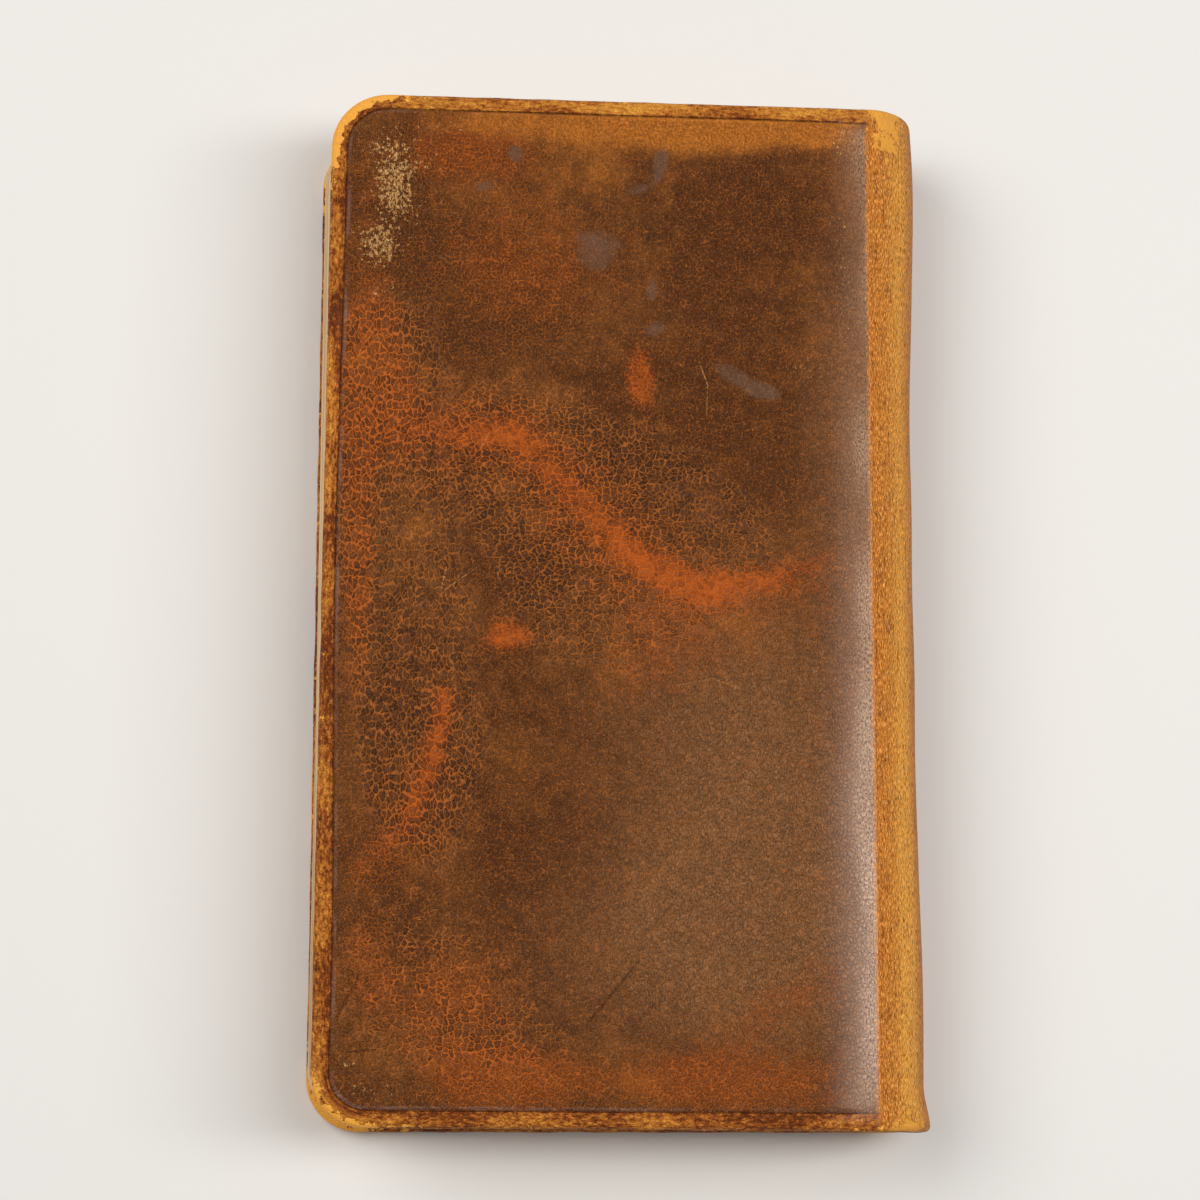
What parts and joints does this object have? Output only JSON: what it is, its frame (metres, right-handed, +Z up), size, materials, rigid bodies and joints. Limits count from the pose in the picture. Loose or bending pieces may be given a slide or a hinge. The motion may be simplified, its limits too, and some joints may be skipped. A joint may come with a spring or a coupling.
{
  "type": "leather-bound pocket book",
  "caption": "Small closed book in worn brown full leather with a smooth rounded spine and round corners, lying on its front cover.",
  "frame": {"origin": "under the middle of the closed book, on the surface it lies on", "axes": "+X towards the spine, +Y towards the head, +Z up out of the back cover"},
  "size_m": [0.1049, 0.1784, 0.025],
  "materials": {
    "leather": "worn, grained, half dull",
    "pasteboard": "raw grey-brown board",
    "leaves": "aged, trimmed edges",
    "endpaper": "aged plain paper",
    "lining_paper": "glued brown paper",
    "endband_thread": "wound thread",
    "hemp_cord": "laid cord"
  },
  "bodies": {
    "block": {"text_block": "leaves", "back_flyleaf": "endpaper", "front_flyleaf": "endpaper", "spine_leather": "leather", "spine_lining": "lining_paper", "head_endband": "endband_thread", "tail_endband": "endband_thread", "sewing_cord_1": "hemp_cord", "sewing_cord_2": "hemp_cord", "sewing_cord_3": "hemp_cord", "sewing_cord_4": "hemp_cord"},
    "back_cover": {"back_cover_leather": "leather", "back_board": "pasteboard", "back_pastedown": "endpaper"},
    "front_cover": {"front_cover_leather": "leather", "front_board": "pasteboard", "front_pastedown": "endpaper"}
  },
  "joints": [
    {"name": "back_cover_hinge", "type": "hinge", "parent": "block", "child": "back_cover", "pos_m": [0.04345, 0, 0.02515], "axis": [0, 1, 0], "range_deg": [0, 180]},
    {"name": "front_cover_hinge", "type": "hinge", "parent": "block", "child": "front_cover", "pos_m": [0.04195, 0, -0.00015], "axis": [0.0044, -1, 0], "range_deg": [0, 180]}
  ]
}
